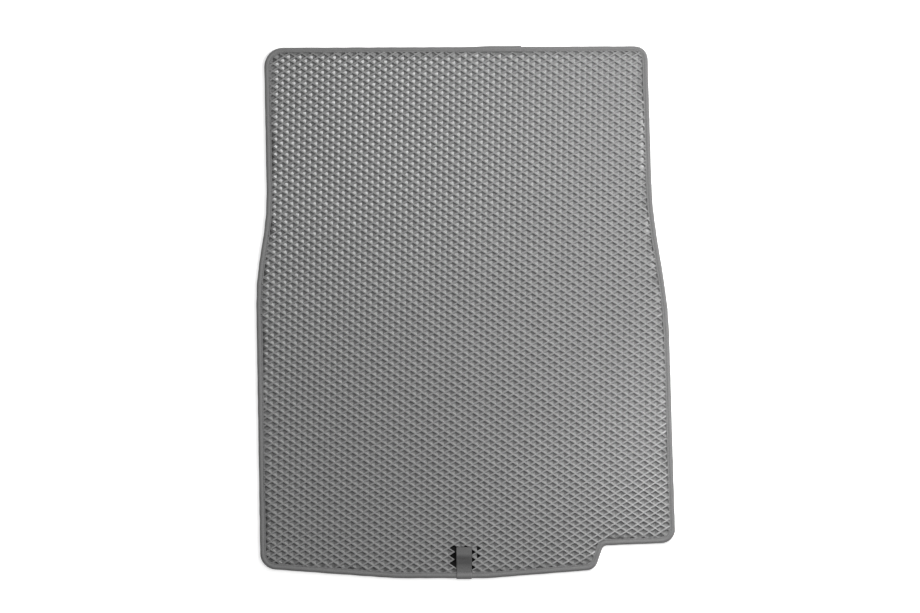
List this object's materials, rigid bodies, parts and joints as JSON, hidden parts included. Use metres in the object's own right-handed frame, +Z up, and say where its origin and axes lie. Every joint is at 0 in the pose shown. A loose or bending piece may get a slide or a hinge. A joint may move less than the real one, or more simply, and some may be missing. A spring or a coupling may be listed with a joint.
{
  "type": "car boot liner",
  "caption": "Flat foam liner for a car boot floor, with diamond pockets, a bound edge, a stepped rear corner and a webbing pull strap over a cut-out.",
  "frame": {"origin": "middle of the liner's footprint, on the surface that it lies on", "axes": "+Y from the rear edge, which has the pull strap, to the front edge; +Z up, out of the pockets; +X to the right, towards the stepped corner"},
  "size_m": [0.7316, 0.9422, 0.0187],
  "materials": {
    "foam": "grey closed-cell foam, matt with a soft sheen and a fine grain",
    "tape": "grey woven binding tape, sewn",
    "webbing": "grey ribbed webbing",
    "patch": "black felt, matt"
  },
  "bodies": {
    "root": {"foam_sheet": "foam", "edge_binding": "tape", "pull_strap": "webbing", "backing_patch": "patch"}
  },
  "joints": []
}
